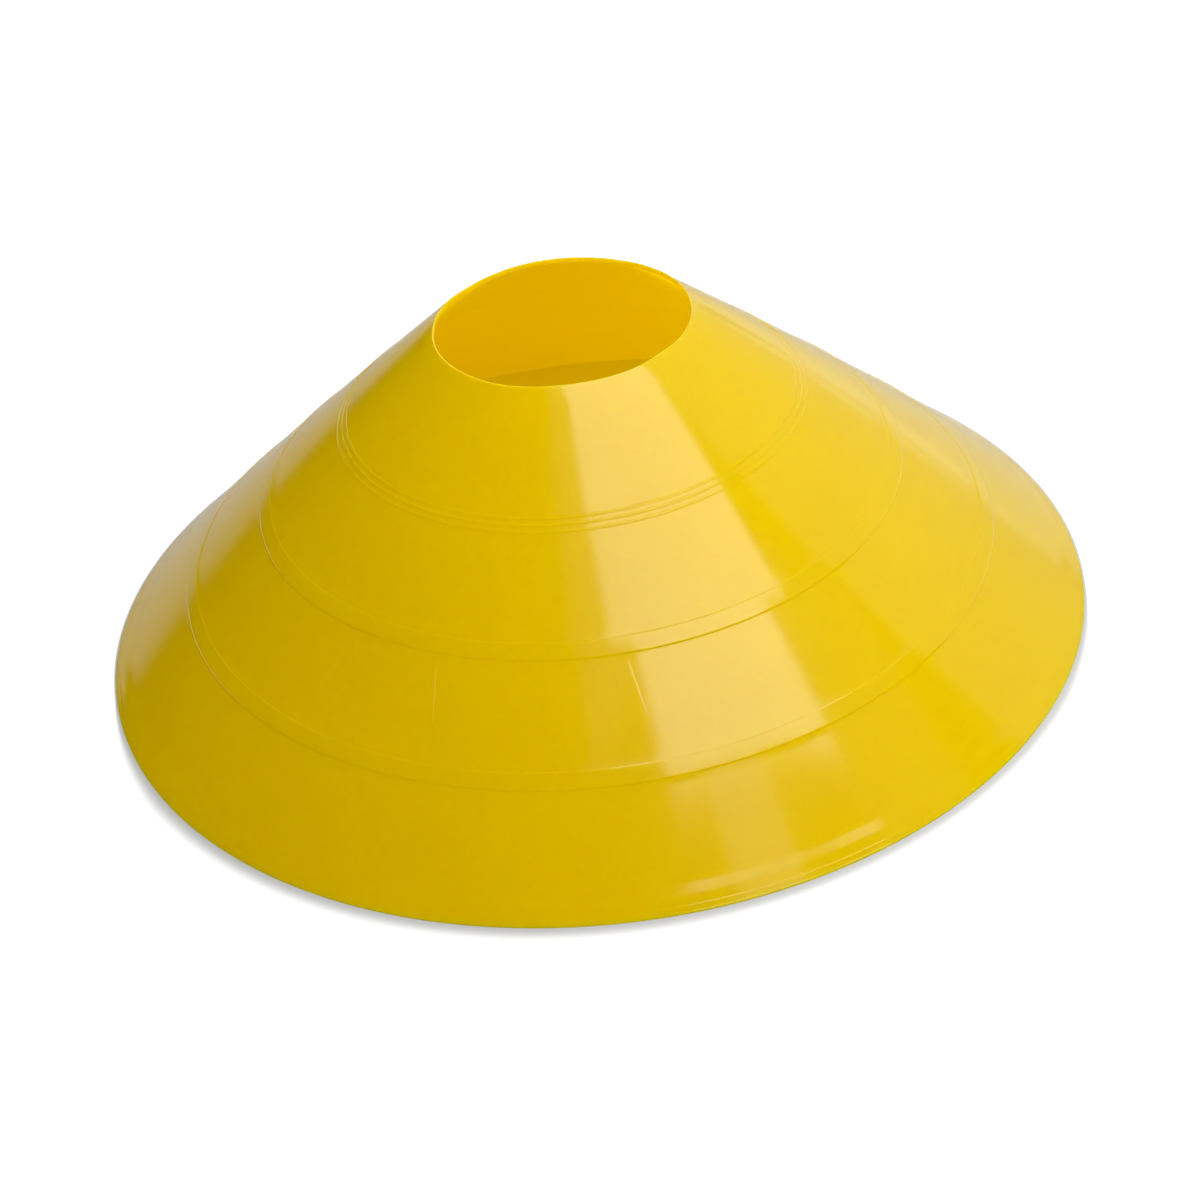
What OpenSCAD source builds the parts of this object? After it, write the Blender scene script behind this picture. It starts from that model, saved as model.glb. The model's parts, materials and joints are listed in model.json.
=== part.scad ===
// Sports marker cone: one thin moulded shell, open at the foot and at the top.
// The origin is the centre of the foot, on the ground, and +Z is up.
// The section of the wall is drawn once and turned round the Z axis.

/* [Overall] */
// Width across the foot
base_d = 304.8; // [285:0.1:325]
// Height from the ground to the top edge
height = 101.6; // [90:0.1:115]
// Width of the hole in the top
hole_d = 76.2; // [60:0.1:90]

/* [Wall] */
// Thickness of the moulded wall
wall_t = 1.3; // [0.9:0.05:2]
// How far the middle of the wall stands out of a straight line from foot to hole
wall_bow = 1; // [0:0.05:3]
// Rounding of the outer edge of the hole
hole_edge_r = 0.25; // [0.1:0.05:0.4]

/* [Rim] */
// How far the rim stands out of the wall at the ground
rim_out = 0.12; // [0.08:0.01:0.4]
// Rounding of the rim's lower edge
rim_edge_r = 0.15; // [0.1:0.01:0.2]
// Number of low steps down from the rim's lower edge to its broad face
rim_step_count = 2; // [1:1:2]
// Distance up the wall from the ground to the middle of the lowest of them
rim_step_l = 0.65; // [0.6:0.05:1]
// Distance between the middles of two of them
rim_step_pitch = 1.6; // [1:0.1:2]
// Height of one of them
rim_step_h = 0.03; // [0.02:0.01:0.04]
// Steepest angle of one of them, in degrees
rim_step_fall = 3.5; // [2:0.1:6]
// Radius of its two bends
rim_step_r = 4; // [1:0.5:5]
// Distance up the wall from the ground to the middle of the slope from the rim down to the wall
rim_fall_l = 6.6; // [6:0.1:9]
// Angle between that slope and the wall, in degrees
rim_fall = 2.8; // [1:0.1:8]
// Radius of the two long bends of that slope
rim_bend_r = 30; // [5:1:35]

/* [Bands] */
// Number of raised bands between the rim and the ribs
band_count = 2; // [1:1:3]
// Distance up the wall from the ground to the middle of the lowest raised band
low_tier_l = 39.7; // [25:0.1:45]
// Width of a raised band, between the middles of its two steps
band_w = 5; // [3:0.1:7]
// Height of a raised band above the wall
band_h = 0.2; // [0.15:0.01:0.5]
// Steepest angle of a step, in degrees
step_fall = 20; // [8:1:50]
// Radius of the two bends of a step
step_r = 0.8; // [0.3:0.05:1.5]
// Height to which a long hollow lifts the wall below a band
toe_h = 0.04; // [0.02:0.01:0.06]
// Radius of that hollow
toe_r = 60; // [20:1:80]
// Height from which a long hollow leads down to the wall above a band
flare_h = 0.08; // [0.04:0.01:0.1]
// Radius of that hollow
flare_r = 45; // [20:1:60]

/* [Ribs] */
// Number of fine ribs in the group
rib_count = 3; // [1:1:5]
// Distance down the wall from the top edge to the middle of the rib group
top_tier_l = 40.5; // [25:0.1:50]
// Distance between the middles of two ribs
rib_pitch = 2; // [1.4:0.1:3]
// Width of a rib at its foot
rib_w = 0.9; // [0.5:0.1:1.2]
// Height of a rib above the wall
rib_h = 0.11; // [0.05:0.01:0.4]

/* [Hidden] */

$fn = 180;
// Straight pieces in each long hollow, in each bend, in the rim's edge and in each rib
HOLLOW_STEPS = 4;
BEND_STEPS = 3;
EDGE_STEPS = 4;
RIB_STEPS = 6;

base_r = base_d / 2;
hole_r = hole_d / 2;

// The wall's outer face starts at the foot and touches the rounding of the hole's edge.
foot = [base_r - rim_out, 0];
edge_mid = [hole_r + hole_edge_r, height - hole_edge_r];
edge_reach = norm(edge_mid - foot);
slope = atan2(edge_mid[1], foot[0] - edge_mid[0]) + asin(hole_edge_r / edge_reach);
slant_l = sqrt(edge_reach * edge_reach - hole_edge_r * hole_edge_r);
uphill = [-cos(slope), sin(slope)];
outward = [sin(slope), cos(slope)];

// The inner face is the outer one moved in by the wall, cut off at the ground and at the hole.
inner_foot = [foot[0] - wall_t / sin(slope), 0];
inner_top = [hole_r, (inner_foot[0] - hole_r) * tan(slope)];

// Height above the wall at which the rim starts: there it touches the rounding of its lower edge.
rim_edge_h = (rim_out - rim_edge_r) * sin(slope) + rim_edge_r * cos(slope) + rim_edge_r;
// Height of its broad face above the wall
rim_h = rim_edge_h - rim_step_count * rim_step_h;

// The bands lie evenly between the lowest one and the rib group.
rib_mid_l = slant_l - top_tier_l;
tier_l = (rib_mid_l - low_tier_l) / band_count;
first_rib_l = rib_mid_l - (rib_count - 1) * rib_pitch / 2;

// Places up the wall where one straight tier meets the next: foot, bands, rib group, hole
KINKS = [0, for (i = [0:band_count]) low_tier_l + i * tier_l, slant_l];

// How far the wall stands out at a share t of the way up
function bow(t) = 4 * wall_bow * t * (1 - t);

// The same at each kink; the wall runs straight from one kink to the next
SWELL = [for (s = KINKS) [s, bow(s / slant_l)]];

// Point of the section: s is the distance up the wall, h the height above its outer face
function on_wall(s, h) = foot + s * uphill + (lookup(s, SWELL) + h) * outward;

// Length along the wall of a hollow of radius r that rises by h
function hollow_l(r, h) = sqrt(2 * r * h - h * h);

// Depth of an arc of radius r at a distance x from its lowest point
function dip(r, x) = r - sqrt(r * r - x * x);

// Angle of the slope from height h0 to height h1: less than asked where its two bends meet first
function ramp_angle(h0, h1, r, fall) = min(fall, acos(1 - abs(h1 - h0) / 2 / r));

// Length along the wall from the middle of that slope to its end
function ramp_half_l(h0, h1, r, fall) =
    let (a = ramp_angle(h0, h1, r, fall))
    r * sin(a) + (abs(h1 - h0) / 2 - r * (1 - cos(a))) / tan(a);

// Slope from height h0 to height h1 with its middle at s: a bend, a straight part and a bend
function ramp(s, h0, h1, r, fall) =
    let (
        way = sign(h1 - h0),
        half_l = ramp_half_l(h0, h1, r, fall),
        bend_l = r * sin(ramp_angle(h0, h1, r, fall))
    )
    concat(
        [
            for (i = [0:BEND_STEPS])
                let (x = bend_l * i / BEND_STEPS)
                    on_wall(s - half_l + x, h0 + way * dip(r, x))
        ],
        [
            for (i = [BEND_STEPS:-1:0])
                let (x = bend_l * i / BEND_STEPS)
                    on_wall(s + half_l - x, h1 - way * dip(r, x))
        ]
    );

// Fine rib with a round back, with its middle at s
function rib(s) = [
    for (i = [0:RIB_STEPS])
        let (x = 2 * i / RIB_STEPS - 1)
            on_wall(s + rib_w / 2 * x, rib_h * (1 - x * x))
];

// Rim: flat underneath, its lower edge rounded up to a face that follows the wall
function rim_edge() = [
    for (i = [0:EDGE_STEPS])
        let (turn = -90 + (180 - slope) * i / EDGE_STEPS)
            [base_r - rim_edge_r, rim_edge_r] + rim_edge_r * [cos(turn), sin(turn)]
];

// Low step number i of the rim, counted from 0 at the ground
function rim_step(i) =
    let (h = rim_edge_h - i * rim_step_h)
    ramp(rim_step_l + i * rim_step_pitch, h, h - rim_step_h, rim_step_r, rim_step_fall);

// The rim's low steps, and the slope from its broad face down to the plain wall
function rim_face() = concat(
    [for (i = [0:rim_step_count - 1]) each rim_step(i)],
    ramp(rim_fall_l, rim_h, 0, rim_bend_r, rim_fall)
);

// Distances from a band's middle to the two long hollows beside it
toe_start_l = band_w / 2 + ramp_half_l(toe_h, band_h, step_r, step_fall);
flare_start_l = band_w / 2 + ramp_half_l(band_h, flare_h, step_r, step_fall);

// Long hollow that rises to the lower step of a band with its middle at s
function toe(s) = [
    for (i = [0:HOLLOW_STEPS - 1])
        let (x = hollow_l(toe_r, toe_h) * i / HOLLOW_STEPS)
            on_wall(s - toe_start_l - hollow_l(toe_r, toe_h) + x, dip(toe_r, x))
];

// Long hollow that runs out from the upper step of a band with its middle at s
function flare(s) = [
    for (i = [HOLLOW_STEPS - 1:-1:0])
        let (x = hollow_l(flare_r, flare_h) * i / HOLLOW_STEPS)
            on_wall(s + flare_start_l + hollow_l(flare_r, flare_h) - x, dip(flare_r, x))
];

// Raised band with its middle at s, between its two steps and their hollows
function band(s) = concat(
    toe(s),
    ramp(s - band_w / 2, toe_h, band_h, step_r, step_fall),
    [on_wall(s, band_h)],
    ramp(s + band_w / 2, band_h, flare_h, step_r, step_fall),
    flare(s)
);

// Rounded edge of the hole, from the wall's outer face over the top and down into the hole
function hole_edge() = [
    for (turn = [90 - slope, 90 - slope / 2, 90, 120, 150, 180])
        edge_mid + hole_edge_r * [cos(turn), sin(turn)]
];

// Smooth inner face, from the hole down to the foot
function inner_face() = [
    for (i = [len(KINKS) - 1:-1:0])
        let (t = KINKS[i] / slant_l)
            inner_foot + t * (inner_top - inner_foot) + bow(t) * outward
];

// Half section of the shell, with the axis on the left
module section() {
    polygon(concat(
        rim_edge(),
        rim_face(),
        [for (i = [0:band_count - 1]) each band(KINKS[i + 1])],
        [for (i = [0:rib_count - 1]) each rib(first_rib_l + i * rib_pitch)],
        hole_edge(),
        inner_face()
    ));
}

module cone_shell() {
    color("gold")
        rotate_extrude()
            section();
}

cone_shell();
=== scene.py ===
import json
import math

import bpy
from mathutils import Euler, Matrix, Vector


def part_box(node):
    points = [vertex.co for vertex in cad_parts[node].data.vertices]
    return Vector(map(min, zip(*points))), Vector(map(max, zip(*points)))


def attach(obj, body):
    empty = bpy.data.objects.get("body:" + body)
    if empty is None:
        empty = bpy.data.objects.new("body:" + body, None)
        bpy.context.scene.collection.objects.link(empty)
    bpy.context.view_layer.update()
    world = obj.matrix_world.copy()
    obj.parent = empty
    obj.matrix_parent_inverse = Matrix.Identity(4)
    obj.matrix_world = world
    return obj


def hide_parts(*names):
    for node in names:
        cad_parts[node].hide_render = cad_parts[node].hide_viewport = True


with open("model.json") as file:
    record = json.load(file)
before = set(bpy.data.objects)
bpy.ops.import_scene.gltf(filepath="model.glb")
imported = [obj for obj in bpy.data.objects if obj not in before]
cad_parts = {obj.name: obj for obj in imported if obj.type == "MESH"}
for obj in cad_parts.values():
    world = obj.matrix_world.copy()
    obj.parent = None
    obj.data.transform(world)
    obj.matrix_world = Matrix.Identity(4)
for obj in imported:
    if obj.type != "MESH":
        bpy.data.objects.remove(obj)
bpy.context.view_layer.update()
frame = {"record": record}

MM = 0.001
LOW, HIGH = (Vector(corner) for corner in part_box("cone_shell"))
MOUNTS = {mount["name"]: mount for mount in frame["record"]["mounts"]}

# Sizes of the shell: the overall ones come from the frame, the others are the solid's own
BASE_R = min(HIGH.x, HIGH.y, -LOW.x, -LOW.y)
HEIGHT = HIGH.z
HOLE_R = MOUNTS["top_hole"]["dims"]["r_mm"] * MM
WALL_T = 1.3 * MM
WALL_BOW = 1.0 * MM
HOLE_EDGE_R = 0.25 * MM
RIM_OUT = 0.12 * MM
RIM_EDGE_R = 0.15 * MM
RIM_STEP_COUNT = 2
RIM_STEP_L = 0.65 * MM
RIM_STEP_PITCH = 1.6 * MM
RIM_STEP_H = 0.03 * MM
RIM_STEP_FALL = math.radians(3.5)
RIM_STEP_R = 4.0 * MM
RIM_FALL_L = 6.6 * MM
RIM_FALL = math.radians(2.8)
RIM_BEND_R = 30.0 * MM
BAND_COUNT = 2
LOW_TIER_L = 39.7 * MM
BAND_W = 5.0 * MM
BAND_H = 0.2 * MM
STEP_FALL = math.radians(20.0)
STEP_R = 0.8 * MM
TOE_H = 0.04 * MM
TOE_R = 60.0 * MM
FLARE_H = 0.08 * MM
FLARE_R = 45.0 * MM
RIB_COUNT = 3
TOP_TIER_L = 40.5 * MM
RIB_PITCH = 2.0 * MM
RIB_W = 0.9 * MM
RIB_H = 0.11 * MM

# Waves of the trimmed edge of the hole: azimuth from the front in degrees, and how far the edge
# stands in there, in millimetres
HOLE_WAVES = {
    -165: -0.24,
    -150: 0.16,
    -135: 0.40,
    -120: -0.2,
    -90: 0.23,
    -60: 0.0,
    -30: -0.4,
    -15: -0.1,
    0: 0.27,
    15: 0.1,
    30: -0.1,
    45: 0.29,
    60: -0.24,
    105: -0.4,
    120: -0.4,
    135: -0.07,
    150: 0.29,
}
# Distance from the hole over which the waves fade out
WAVE_REACH = 3.0 * MM

# Creases in the plastic: azimuths in degrees at the lower and the upper end, heights of the two
# ends, and depth as a share of the full one
CREASES = (
    (5.5, 4.0, 37.5 * MM, 48.5 * MM, 1.0),
    (-25.4, -27.1, 35.7 * MM, 47.7 * MM, 0.5),
)
# Half the width of a crease, the length over which each end fades, and its share of the paler colour
# that is a painted highlight along it
CREASE_W = 0.35 * MM
CREASE_FADE = 2.0 * MM
CREASE_HIGHLIGHT_SHARE = 0.5

# Fineness of the mesh: pieces round the axis, and the longest piece of the plain wall
SEGMENTS = 360
PANEL_STEP = 2.0 * MM
# Points beside a corner: how close they lie, the turn from which they are set, the shortest side
HOLD = 0.06 * MM
HOLD_TURN = math.radians(0.8)
HOLD_SIDE = 4 * HOLD
# Straight pieces in each long hollow, bend, rim's edge and rib, and in the hole's edge up and down
HOLLOW_STEPS = 6
BEND_STEPS = 4
EDGE_STEPS = 6
RIB_STEPS = 10
HOLE_UP_STEPS = 3
HOLE_DOWN_STEPS = 4

# Camera: place, angle down from the level, lean, and lens
CAMERA_PLACE = Vector((0.0015, -0.6787, 0.4750))
CAMERA_DOWN = math.radians(35.0)
CAMERA_LEAN = math.radians(-6.87)
CAMERA_LENS = 78.48

# Range of a share, even scale of a pattern, and white
SHARE = (0.0, 1.0)
EVEN = (1.0, 1.0, 1.0)
WHITE = (1.0, 1.0, 1.0, 1.0)

# Plastic: its colour, a deeper shade, a paler colour painted along the creases as a highlight, and how
# light is bent in it and passes through it
PLASTIC_COLOR = (0.775, 0.562, 0.0, 1.0)
PLASTIC_DEEP = (0.76, 0.55, 0.0, 1.0)
PAINTED_CREASE_HIGHLIGHT = (0.9, 0.75, 0.1, 1.0)
PLASTIC_IOR = 1.5
PASSED_RADIUS = (1.0, 0.75, 0.1)
PASSED_SCALE = 0.002
# Its roughness where it is glossiest and dullest, and what a rubbed mark adds
ROUGH_LOW = 0.10
ROUGH_HIGH = 0.13
ROUGH_MARKS = 0.06
# Painted glow of the inner face, standing in for light that the wall lets into the cone: its colour,
# and its strength on the left and on the right of the hole
PAINTED_GLOW_COLOR = (1.0, 0.87, 0.0, 1.0)
PAINTED_GLOW_LEFT = 0.15
PAINTED_GLOW_RIGHT = 0.205
# A face is an inner one, and gets that painted glow, where it looks up by less than this, at the
# ground and at the top
PAINTED_GLOW_LIMITS = (-0.3, 0.3)

# Patterns in the plastic: fineness, stretch, detail, and the values between which each one sets in
CLOUD_SCALE = 24.0
CLOUD_DETAIL = 3.0
CLOUD_RANGE = (0.35, 0.65)
SCRATCH_SCALE = 2600.0
SCRATCH_STRETCH = (0.02, 0.02, 1.0)
SCRATCH_DETAIL = 1.0
SCRATCH_RANGE = (0.60, 0.68)
PATCH_SCALE = 38.0
PATCH_RANGE = (0.52, 0.64)
# Relief: height of one unit, and units for a crease and for a rubbed mark
BUMP_UNIT = 0.01 * MM
CREASE_BUMP = 2.0
MARK_BUMP = -0.25

# Floor: its size, colour and roughness, its lift to white close by and far off, and where far starts
FLOOR_SIZE = 60.0
FLOOR_COLOR = (0.6, 0.6, 0.6, 1.0)
FLOOR_ROUGH = 0.9
FLOOR_LIFT = 0.55
FLOOR_LIFT_FAR = 1.0
FLOOR_FAR_R = 0.6
# Share of that lift which the plastic mirrors on the right, and where along X it sets in
FLOOR_MIRRORED = 0.35
FLOOR_MIRRORED_FROM = 0.1
FLOOR_MIRRORED_TO = 0.6
# Ground under the shell: a yellow tint of its colour, and a glow's colour and strength, painted light
# in place of the light that the shell lets through to it
UNDER_PAINTED_TINT = (0.65, 0.5, 0.02, 1.0)
UNDER_PAINTED_GLOW_COLOR = (1.0, 0.7, 0.0, 1.0)
UNDER_PAINTED_GLOW = 0.24
# Shade along the foot: where it starts, its width at the sides and in front, and what is left of
# that width on the right
SHADE_START = 0.4 * MM
SHADE_SIDE = 0.3 * MM
SHADE_FRONT = 5.6 * MM
SHADE_RIGHT_SHARE = 0.75
# Directions between which its width changes, as shares that point to the front or to the right
SHADE_FRONT_RANGE = (0.15, 0.5)
SHADE_BACK_RANGE = (-0.9, -0.7)
SHADE_RIGHT_RANGE = (0.3, 1.0)

# Light of the room itself
ROOM_STRENGTH = 0.03

# Lamps: azimuth from the front and height angle in degrees, distance, lean, shift, size,
# brightness, and whether the plastic mirrors them
LAMPS = {
    "key": (48, 58, 0.60, -24, (-0.023, 0.060), (0.458, 0.240), 3.1, True),
    "key_low": (48, 58, 0.60, -24, (-0.023, -0.1125), (0.355, 0.105), 3.5, True),
    "key_foot": (48, 58, 0.60, -24, (-0.065, -0.2075), (0.130, 0.085), 0.85, True),
    "key_right": (48, 58, 0.602, -24, (0.280, -0.150), (0.250, 0.280), 0.14, True),
    "key_left": (48, 58, 0.602, -24, (-0.306, 0.040), (0.108, 0.280), 0.3, True),
    "top": (0, 88, 0.50, 0, (0.0, 0.0), (0.30, 0.30), 2.3, False),
    "front_fill": (40, 12, 0.50, 0, (0.0, 0.0), (0.60, 0.20), 1.8, False),
    "side_fill": (110, 20, 0.85, 0, (0.240, 0.130), (1.020, 0.840), 0.40, True),
    "back_right": (130, 30, 0.80, 0, (0.0, 0.0), (0.60, 0.50), 1.85, False),
    "left_fill": (-60, 40, 0.80, 0, (0.0, 0.0), (0.60, 0.50), 1.65, False),
    "back": (180, 30, 0.90, 0, (0.0, 0.0), (1.00, 0.60), 1.1, True),
}


class Section:
    """Half section of the shell as points (r, z), from the foot up the outer face and down inside."""

    def __init__(self):
        self.foot = Vector((BASE_R - RIM_OUT, 0.0))
        self.edge_mid = Vector((HOLE_R + HOLE_EDGE_R, HEIGHT - HOLE_EDGE_R))
        reach = (self.edge_mid - self.foot).length
        rise = math.atan2(self.edge_mid.y, self.foot.x - self.edge_mid.x)
        self.slope = rise + math.asin(HOLE_EDGE_R / reach)
        self.length = math.sqrt(reach ** 2 - HOLE_EDGE_R ** 2)
        self.uphill = Vector((-math.cos(self.slope), math.sin(self.slope)))
        self.outward = Vector((math.sin(self.slope), math.cos(self.slope)))
        self.rib_mid = self.length - TOP_TIER_L
        tier = (self.rib_mid - LOW_TIER_L) / BAND_COUNT
        bands = [LOW_TIER_L + i * tier for i in range(BAND_COUNT + 1)]
        self.kinks = [0.0] + bands + [self.length]
        rounding = RIM_EDGE_R * (1 + self.outward.y)
        self.rim_edge_h = (RIM_OUT - RIM_EDGE_R) * self.outward.x + rounding
        self.rim_h = self.rim_edge_h - RIM_STEP_COUNT * RIM_STEP_H

    def bow(self, s):
        """How far the wall stands out at a kink, a distance s up the wall."""
        t = s / self.length
        return 4 * WALL_BOW * t * (1 - t)

    def swell(self, s):
        """The same anywhere: straight from one kink to the next."""
        for low, high in zip(self.kinks, self.kinks[1:]):
            if s <= high or high == self.length:
                share = max(0.0, (s - low) / (high - low))
                return self.bow(low) + share * (self.bow(high) - self.bow(low))

    def on_wall(self, s, h=0.0):
        """Point a distance s up the wall and a height h above its outer face."""
        return self.foot + s * self.uphill + (self.swell(s) + h) * self.outward

    def panel(self, s0, s1):
        """Plain wall between s0 and s1, without its two ends."""
        count = max(1, math.ceil((s1 - s0) / PANEL_STEP))
        return [self.on_wall(s0 + (s1 - s0) * i / count) for i in range(1, count)]

    def ramp(self, s, h0, h1, r, fall):
        """Slope from height h0 to height h1: a bend, a straight part and a bend, middle at s."""
        way = math.copysign(1.0, h1 - h0)
        half = ramp_half(h0, h1, r, fall)
        bend = r * math.sin(ramp_angle(h0, h1, r, fall))
        steps = [bend * i / BEND_STEPS for i in range(BEND_STEPS + 1)]
        points = [self.on_wall(s - half + x, h0 + way * dip(r, x)) for x in steps]
        return points + [self.on_wall(s + half - x, h1 - way * dip(r, x)) for x in reversed(steps)]

    def rib(self, s):
        """Fine rib with a round back, with its middle at s."""
        shares = [2 * i / RIB_STEPS - 1 for i in range(RIB_STEPS + 1)]
        return [self.on_wall(s + RIB_W / 2 * x, RIB_H * (1 - x * x)) for x in shares]

    def rim(self):
        """Rounded lower edge, low steps, broad face, and slope down to the plain wall."""
        middle = Vector((BASE_R - RIM_EDGE_R, RIM_EDGE_R))
        points = []
        for i in range(EDGE_STEPS + 1):
            turn = -math.pi / 2 + (math.pi - self.slope) * i / EDGE_STEPS
            points.append(middle + RIM_EDGE_R * Vector((math.cos(turn), math.sin(turn))))
        for i in range(RIM_STEP_COUNT):
            h = self.rim_edge_h - i * RIM_STEP_H
            s = RIM_STEP_L + i * RIM_STEP_PITCH
            points += self.ramp(s, h, h - RIM_STEP_H, RIM_STEP_R, RIM_STEP_FALL)
        return points + self.ramp(RIM_FALL_L, self.rim_h, 0.0, RIM_BEND_R, RIM_FALL)

    def band(self, s):
        """Raised band between its two steps and the long hollows beside them."""
        low = s - BAND_W / 2 - ramp_half(TOE_H, BAND_H, STEP_R, STEP_FALL)
        high = s + BAND_W / 2 + ramp_half(BAND_H, FLARE_H, STEP_R, STEP_FALL)
        toe = hollow_length(TOE_R, TOE_H)
        flare = hollow_length(FLARE_R, FLARE_H)
        shares = [i / HOLLOW_STEPS for i in range(HOLLOW_STEPS)]
        points = [self.on_wall(low - toe + toe * t, dip(TOE_R, toe * t)) for t in shares]
        points += self.ramp(s - BAND_W / 2, TOE_H, BAND_H, STEP_R, STEP_FALL)
        points.append(self.on_wall(s, BAND_H))
        points += self.ramp(s + BAND_W / 2, BAND_H, FLARE_H, STEP_R, STEP_FALL)
        return points + [
            self.on_wall(high + flare - flare * t, dip(FLARE_R, flare * t)) for t in reversed(shares)
        ]

    def outer(self):
        """Outer face: the rim, the bands and the ribs, with plain wall between them."""
        below = ramp_half(TOE_H, BAND_H, STEP_R, STEP_FALL) + hollow_length(TOE_R, TOE_H)
        above = ramp_half(BAND_H, FLARE_H, STEP_R, STEP_FALL) + hollow_length(FLARE_R, FLARE_H)
        points = self.rim()
        start = RIM_FALL_L + ramp_half(self.rim_h, 0.0, RIM_BEND_R, RIM_FALL)
        for middle in self.kinks[1:-2]:
            points += self.panel(start, middle - BAND_W / 2 - below)
            points += self.band(middle)
            start = middle + BAND_W / 2 + above
        for i in range(RIB_COUNT):
            middle = self.rib_mid + (i - (RIB_COUNT - 1) / 2) * RIB_PITCH
            points += self.panel(start, middle - RIB_W / 2)
            points += self.rib(middle)
            start = middle + RIB_W / 2
        return points + self.panel(start, self.length)

    def hole_edge(self):
        """Rounded edge of the hole, from the outer face over the top and down into the hole."""
        up = [i / HOLE_UP_STEPS for i in range(HOLE_UP_STEPS + 1)]
        down = [i / HOLE_DOWN_STEPS for i in range(1, HOLE_DOWN_STEPS + 1)]
        turns = [math.pi / 2 - self.slope * (1 - t) for t in up]
        turns += [math.pi / 2 * (1 + t) for t in down]
        return [self.edge_mid + HOLE_EDGE_R * Vector((math.cos(a), math.sin(a))) for a in turns]

    def inner(self):
        """Smooth inner face, from the hole down to the foot."""
        foot = Vector((self.foot.x - WALL_T / math.sin(self.slope), 0.0))
        top = Vector((HOLE_R, (foot.x - HOLE_R) * math.tan(self.slope)))
        marks = []
        for low, high in zip(self.kinks, self.kinks[1:]):
            count = math.ceil((high - low) / PANEL_STEP)
            marks += [low + (high - low) * i / count for i in range(count)]
        marks.append(self.length)
        marks.reverse()
        return [foot.lerp(top, s / self.length) + self.swell(s) * self.outward for s in marks]

    def points(self):
        """The whole closed section."""
        return with_holds(self.outer() + self.hole_edge() + self.inner())


def hollow_length(r, h):
    """Length along the wall of a hollow of radius r that rises by h."""
    return math.sqrt(2 * r * h - h * h)


def dip(r, x):
    """Depth of an arc of radius r at a distance x from its lowest point."""
    return r - math.sqrt(r * r - x * x)


def ramp_angle(h0, h1, r, fall):
    """Angle of a slope between two heights: less than fall where its two bends meet first."""
    return min(fall, math.acos(1 - abs(h1 - h0) / 2 / r))


def ramp_half(h0, h1, r, fall):
    """Length along the wall from the middle of that slope to its end."""
    a = ramp_angle(h0, h1, r, fall)
    return r * math.sin(a) + (abs(h1 - h0) / 2 - r * (1 - math.cos(a))) / math.tan(a)


def with_holds(points):
    """The same closed outline, with points added close to its corners to keep the shading there."""
    count = len(points)
    sides = [points[(i + 1) % count] - points[i] for i in range(count)]
    turns = [abs(sides[i].angle_signed(sides[i - 1])) for i in range(count)]
    held = []
    for i, side in enumerate(sides):
        held.append(points[i])
        if side.length > HOLD_SIDE and turns[i] > HOLD_TURN:
            held.append(points[i] + HOLD * side.normalized())
        if side.length > HOLD_SIDE and turns[(i + 1) % count] > HOLD_TURN:
            held.append(points[i] + (side.length - HOLD) * side.normalized())
    return held


def eased(t):
    """Share from 0 to 1 with a soft start and a soft end."""
    return t * t * (3 - 2 * t)


def hole_wave(azimuth):
    """How far the hole's edge stands in at an azimuth in degrees, eased from one mark to the next."""
    marks = sorted(HOLE_WAVES)
    ring = marks + [marks[0] + 360]
    place = (azimuth - marks[0]) % 360 + marks[0]
    for low, high in zip(ring, ring[1:]):
        if place <= high:
            share = eased((place - low) / (high - low))
            first, last = HOLE_WAVES[low], HOLE_WAVES[marks[0] if high > 180 else high]
            return (first + share * (last - first)) * MM


def lathe(name, points):
    """Closed mesh of a section turned round the Z axis, with waves along the edge of the hole."""
    rows = len(points)
    shares = [eased(max(0.0, 1 - (r - HOLE_R) / WAVE_REACH)) for r, z in points]
    verts = []
    for i in range(SEGMENTS):
        turn = 2 * math.pi * i / SEGMENTS
        # The turn starts at +X, and the azimuth at the front, which is -Y
        wave = hole_wave(math.degrees(turn) + 90)
        for (r, z), share in zip(points, shares):
            radius = r - wave * share
            verts.append((radius * math.cos(turn), radius * math.sin(turn), z))
    faces = []
    for i in range(SEGMENTS):
        here = i * rows
        there = (i + 1) % SEGMENTS * rows
        for j in range(rows):
            k = (j + 1) % rows
            faces.append((here + j, there + j, there + k, here + k))
    mesh = bpy.data.meshes.new(name)
    mesh.from_pydata(verts, [], faces)
    mesh.update()
    for polygon in mesh.polygons:
        polygon.use_smooth = True
    obj = bpy.data.objects.new(name, mesh)
    bpy.context.scene.collection.objects.link(obj)
    return obj


def feed(tree, socket, value):
    """Give a socket its value, which is another socket or a plain one."""
    if isinstance(value, bpy.types.NodeSocket):
        tree.links.new(value, socket)
    else:
        socket.default_value = value


def calc(tree, operation, *values):
    """Result of a sum on sockets or plain numbers."""
    node = tree.nodes.new("ShaderNodeMath")
    node.operation = operation
    for socket, value in zip(node.inputs, values):
        feed(tree, socket, value)
    return node.outputs["Value"]


def spread(tree, value, source, target, kind="LINEAR"):
    """Value carried from one range of numbers to another, and kept within it."""
    node = tree.nodes.new("ShaderNodeMapRange")
    node.interpolation_type = kind
    tree.links.new(value, node.inputs["Value"])
    node.inputs["From Min"].default_value, node.inputs["From Max"].default_value = source
    node.inputs["To Min"].default_value, node.inputs["To Max"].default_value = target
    return node.outputs["Result"]


def tint(tree, share, first, second):
    """Colour between two others, which are sockets or plain values."""
    node = tree.nodes.new("ShaderNodeMix")
    node.data_type = "RGBA"
    # Inputs 0, 6 and 7 and output 2 are the ones that a mix of colours uses
    feed(tree, node.inputs[0], share)
    feed(tree, node.inputs[6], first)
    feed(tree, node.inputs[7], second)
    return node.outputs[2]


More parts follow.
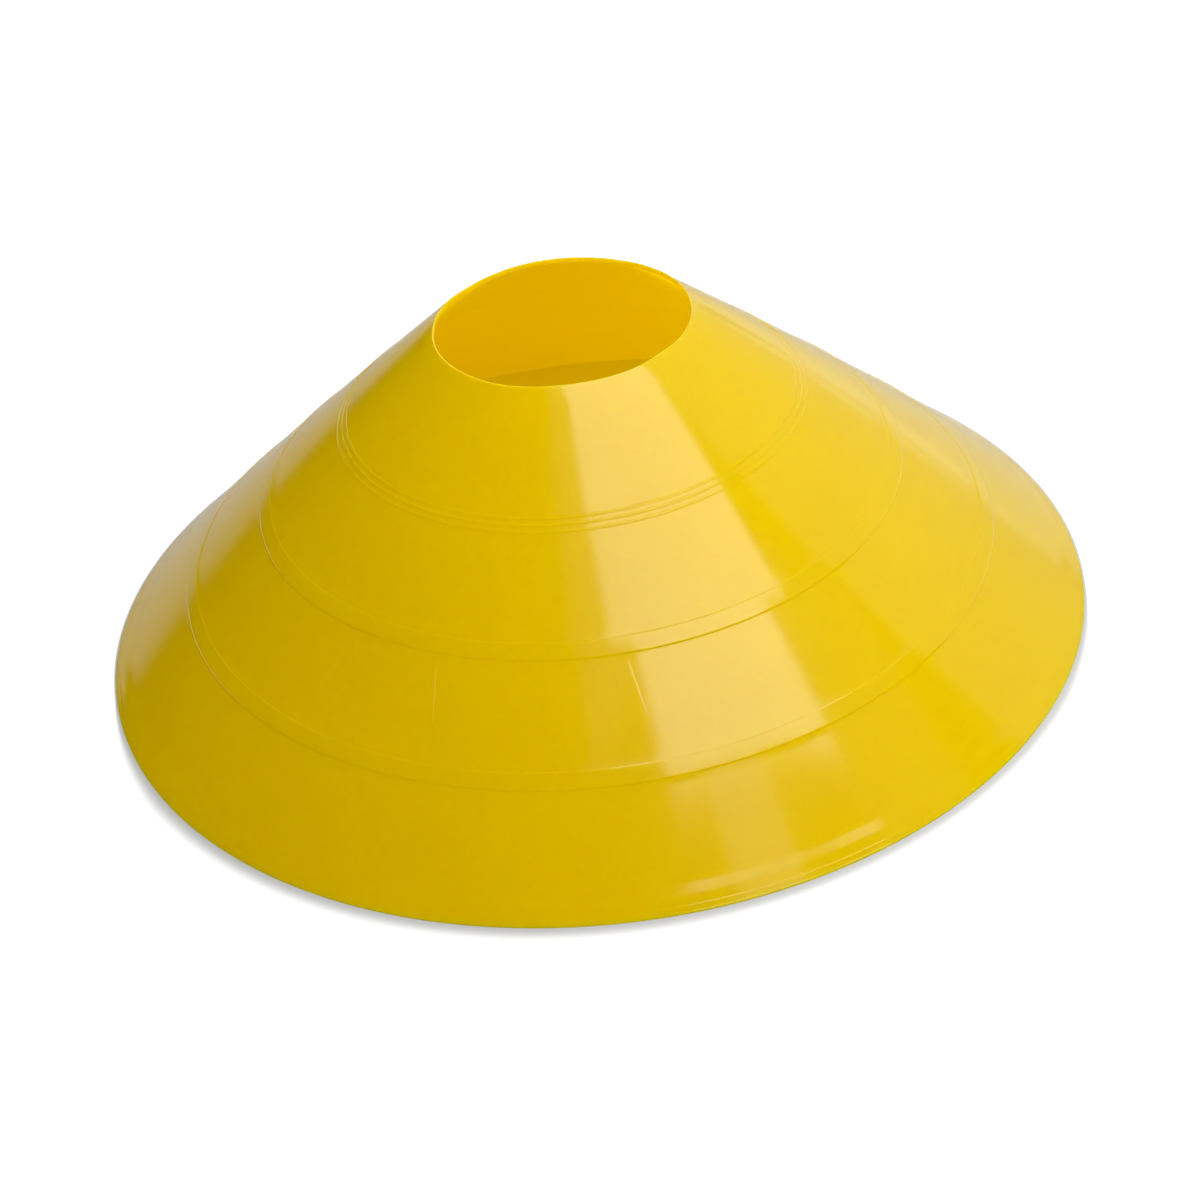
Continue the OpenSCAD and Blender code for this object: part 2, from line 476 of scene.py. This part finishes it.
def noise(tree, place, stretch, scale, detail):
    """Cloudy pattern of values about 0.5, stretched along the axes."""
    mapping = tree.nodes.new("ShaderNodeMapping")
    mapping.inputs["Scale"].default_value = stretch
    tree.links.new(place, mapping.inputs["Vector"])
    node = tree.nodes.new("ShaderNodeTexNoise")
    node.inputs["Scale"].default_value = scale
    node.inputs["Detail"].default_value = detail
    tree.links.new(mapping.outputs["Vector"], node.inputs["Vector"])
    return node.outputs["Fac"]


def scratches(tree, place):
    """Fine broken lines round the shell where cones of a stack have rubbed on each other."""
    fine = noise(tree, place, SCRATCH_STRETCH, SCRATCH_SCALE, SCRATCH_DETAIL)
    lines = spread(tree, fine, SCRATCH_RANGE, SHARE)
    coarse = noise(tree, place, EVEN, PATCH_SCALE, CLOUD_DETAIL)
    patches = spread(tree, coarse, PATCH_RANGE, SHARE)
    return calc(tree, "MULTIPLY", lines, patches)


def creases(tree, split):
    """Thin lines up the shell where it was once bent."""
    front = calc(tree, "MULTIPLY", split.outputs["Y"], -1.0)
    azimuth = calc(tree, "ARCTAN2", split.outputs["X"], front)
    height = split.outputs["Z"]
    total = 0.0
    for low_turn, high_turn, low, high, depth in CREASES:
        ends = (math.radians(low_turn), math.radians(high_turn))
        middle = spread(tree, height, (low, high), ends)
        off = calc(tree, "ABSOLUTE", calc(tree, "SUBTRACT", azimuth, middle))
        away = calc(tree, "MULTIPLY", off, (BASE_R + HOLE_R) / 2)
        line = spread(tree, away, (0.0, CREASE_W), (depth, 0.0), "SMOOTHSTEP")
        rise = spread(tree, height, (low, low + CREASE_FADE), SHARE, "SMOOTHSTEP")
        fall = spread(tree, height, (high - CREASE_FADE, high), (1.0, 0.0), "SMOOTHSTEP")
        line = calc(tree, "MULTIPLY", line, calc(tree, "MULTIPLY", rise, fall))
        total = calc(tree, "ADD", line, total)
    return total


def cone_plastic():
    """Soft glossy plastic, coloured through, that lets some light pass, with rubbed marks, paler
    creases that are a painted highlight, and a painted glow on its inner face in place of light that
    the wall lets through.
    """
    material = bpy.data.materials.new("cone_plastic")
    material.use_nodes = True
    tree = material.node_tree
    shader = tree.nodes["Principled BSDF"]
    shader.inputs["IOR"].default_value = PLASTIC_IOR
    shader.inputs["Subsurface Weight"].default_value = 1.0
    shader.inputs["Subsurface Radius"].default_value = PASSED_RADIUS
    shader.inputs["Subsurface Scale"].default_value = PASSED_SCALE
    shader.inputs["Emission Color"].default_value = PAINTED_GLOW_COLOR
    place = tree.nodes.new("ShaderNodeTexCoord")
    split = tree.nodes.new("ShaderNodeSeparateXYZ")
    tree.links.new(place.outputs["Object"], split.inputs["Vector"])
    clouds = noise(tree, place.outputs["Object"], EVEN, CLOUD_SCALE, CLOUD_DETAIL)
    marks = scratches(tree, place.outputs["Object"])
    lines = creases(tree, split)
    cloud_share = spread(tree, clouds, CLOUD_RANGE, SHARE)
    # Paler colour along the creases is a painted highlight; the creases' relief is the bump further
    # down
    crease_highlight_share = calc(tree, "MULTIPLY", lines, CREASE_HIGHLIGHT_SHARE)
    clouded = tint(tree, cloud_share, PLASTIC_COLOR, PLASTIC_DEEP)
    color = tint(tree, crease_highlight_share, clouded, PAINTED_CREASE_HIGHLIGHT)
    tree.links.new(color, shader.inputs["Base Color"])
    gloss = spread(tree, clouds, CLOUD_RANGE, (ROUGH_LOW, ROUGH_HIGH))
    rough = calc(tree, "ADD", gloss, calc(tree, "MULTIPLY", marks, ROUGH_MARKS))
    tree.links.new(rough, shader.inputs["Roughness"])
    bump = tree.nodes.new("ShaderNodeBump")
    bump.inputs["Strength"].default_value = 1.0
    bump.inputs["Distance"].default_value = BUMP_UNIT
    crease_height = calc(tree, "MULTIPLY", lines, CREASE_BUMP)
    mark_height = calc(tree, "MULTIPLY", marks, MARK_BUMP)
    tree.links.new(calc(tree, "ADD", crease_height, mark_height), bump.inputs["Height"])
    tree.links.new(bump.outputs["Normal"], shader.inputs["Normal"])
    # Painted glow on the inner face, stronger towards the right, in place of light that the wall lets
    # into the cone
    facing = tree.nodes.new("ShaderNodeSeparateXYZ")
    tree.links.new(place.outputs["Normal"], facing.inputs["Vector"])
    limit = spread(tree, split.outputs["Z"], (0.0, HEIGHT), PAINTED_GLOW_LIMITS)
    inside = calc(tree, "LESS_THAN", facing.outputs["Z"], limit)
    painted_glow_strength = spread(tree, split.outputs["X"], (-HOLE_R, HOLE_R), (PAINTED_GLOW_LEFT, PAINTED_GLOW_RIGHT))
    tree.links.new(calc(tree, "MULTIPLY", inside, painted_glow_strength), shader.inputs["Emission Strength"])
    return material


def clear_ray(tree):
    """One for rays that look straight at the backdrop, else nought, and the same for mirrored rays."""
    path = tree.nodes.new("ShaderNodeLightPath")
    clear = calc(tree, "MAXIMUM", path.outputs["Is Camera Ray"], path.outputs["Is Transmission Ray"])
    return clear, path.outputs["Is Glossy Ray"]


def floor_material():
    """Pale matt floor. The camera sees it lifted to white but for a thin shade along the cone; under
    the shell it gets a painted yellow tint and glow.
    """
    material = bpy.data.materials.new("floor_white")
    material.use_nodes = True
    tree = material.node_tree
    shader = tree.nodes["Principled BSDF"]
    shader.inputs["Roughness"].default_value = FLOOR_ROUGH
    shader.inputs["Specular IOR Level"].default_value = 0.0
    place = tree.nodes.new("ShaderNodeTexCoord")
    length = tree.nodes.new("ShaderNodeVectorMath")
    length.operation = "LENGTH"
    tree.links.new(place.outputs["Object"], length.inputs[0])
    reach = length.outputs["Value"]
    split = tree.nodes.new("ShaderNodeSeparateXYZ")
    tree.links.new(place.outputs["Object"], split.inputs["Vector"])
    front = calc(tree, "DIVIDE", calc(tree, "MULTIPLY", split.outputs["Y"], -1.0), reach)
    right = calc(tree, "DIVIDE", split.outputs["X"], reach)
    widths = (
        spread(tree, front, SHADE_FRONT_RANGE, (SHADE_SIDE, SHADE_FRONT)),
        spread(tree, front, SHADE_BACK_RANGE, (SHADE_FRONT, SHADE_SIDE)),
    )
    narrowing = spread(tree, right, SHADE_RIGHT_RANGE, (1.0, SHADE_RIGHT_SHARE))
    width = calc(tree, "MULTIPLY", calc(tree, "MAXIMUM", *widths), narrowing)
    gap = calc(tree, "SUBTRACT", reach, BASE_R + SHADE_START)
    share = calc(tree, "DIVIDE", gap, width)
    near = spread(tree, share, SHARE, SHARE, "SMOOTHSTEP")
    far = spread(tree, reach, (BASE_R + SHADE_FRONT, FLOOR_FAR_R), (FLOOR_LIFT, FLOOR_LIFT_FAR))
    clear, glossy = clear_ray(tree)
    reached = (FLOOR_MIRRORED_FROM, FLOOR_MIRRORED_TO)
    side = spread(tree, split.outputs["X"], reached, (0.0, FLOOR_MIRRORED), "SMOOTHSTEP")
    seen = calc(tree, "MAXIMUM", clear, calc(tree, "MULTIPLY", glossy, side))
    glow = calc(tree, "MULTIPLY", calc(tree, "MULTIPLY", near, far), seen)
    # Painted light under the shell: yellow tint and glow in place of the light that the shell lets
    # through
    under = calc(tree, "LESS_THAN", reach, BASE_R - WALL_T)
    lift = calc(tree, "ADD", glow, calc(tree, "MULTIPLY", under, UNDER_PAINTED_GLOW))
    tree.links.new(lift, shader.inputs["Emission Strength"])
    tree.links.new(tint(tree, under, FLOOR_COLOR, UNDER_PAINTED_TINT), shader.inputs["Base Color"])
    tree.links.new(tint(tree, under, WHITE, UNDER_PAINTED_GLOW_COLOR), shader.inputs["Emission Color"])
    return material


def make_floor():
    """Level floor under the cone."""
    half = FLOOR_SIZE / 2
    mesh = bpy.data.meshes.new("floor")
    corners = [(-half, -half, 0), (half, -half, 0), (half, half, 0), (-half, half, 0)]
    mesh.from_pydata(corners, [], [(0, 1, 2, 3)])
    mesh.update()
    floor = bpy.data.objects.new("floor", mesh)
    floor.data.materials.append(floor_material())
    bpy.context.scene.collection.objects.link(floor)


def make_world():
    """Dim even room; the camera sees white behind the object."""
    world = bpy.data.worlds.new("studio")
    bpy.context.scene.world = world
    world.use_nodes = True
    tree = world.node_tree
    background = tree.nodes["Background"]
    background.inputs["Color"].default_value = WHITE
    clear, glossy = clear_ray(tree)
    room = spread(tree, glossy, SHARE, (ROOM_STRENGTH, 0.0))
    tree.links.new(calc(tree, "MAXIMUM", room, clear), background.inputs["Strength"])


def soft_box(name, azimuth, elevation, distance, lean, shift, size, brightness, mirrored):
    """Flat lamp that faces the cone. Its brightness is given as seen, with 1 as white."""
    a, e, turn = (math.radians(angle) for angle in (azimuth, elevation, lean))
    away = Vector((math.sin(a) * math.cos(e), -math.cos(a) * math.cos(e), math.sin(e)))
    level = Vector((math.cos(a), math.sin(a), 0.0))
    across = math.cos(turn) * level + math.sin(turn) * away.cross(level)
    up = away.cross(across)
    data = bpy.data.lights.new(name, "AREA")
    data.shape = "RECTANGLE"
    data.size, data.size_y = size
    data.energy = brightness * math.pi * size[0] * size[1]
    lamp = bpy.data.objects.new(name, data)
    place = distance * away + shift[0] * across + shift[1] * up
    lamp.matrix_world = Matrix.Translation(place) @ Matrix((across, up, away)).transposed().to_4x4()
    lamp.visible_camera = False
    lamp.visible_glossy = mirrored
    bpy.context.scene.collection.objects.link(lamp)


def make_camera():
    """Camera at the photograph's place and angle."""
    data = bpy.data.cameras.new("camera")
    data.lens = CAMERA_LENS
    camera = bpy.data.objects.new("camera", data)
    look = Euler((math.pi / 2 - CAMERA_DOWN, 0, 0)).to_matrix()
    lean = Matrix.Rotation(CAMERA_LEAN, 3, "Z")
    camera.matrix_world = Matrix.Translation(CAMERA_PLACE) @ (look @ lean).to_4x4()
    bpy.context.scene.collection.objects.link(camera)
    bpy.context.scene.camera = camera


make_camera()
make_floor()
make_world()
for lamp_name, values in LAMPS.items():
    soft_box(lamp_name, *values)
shell = lathe("shell_skin", Section().points())
shell.data.materials.append(cone_plastic())
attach(shell, "root")
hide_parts("cone_shell")
bpy.context.scene.view_settings.view_transform = "Standard"
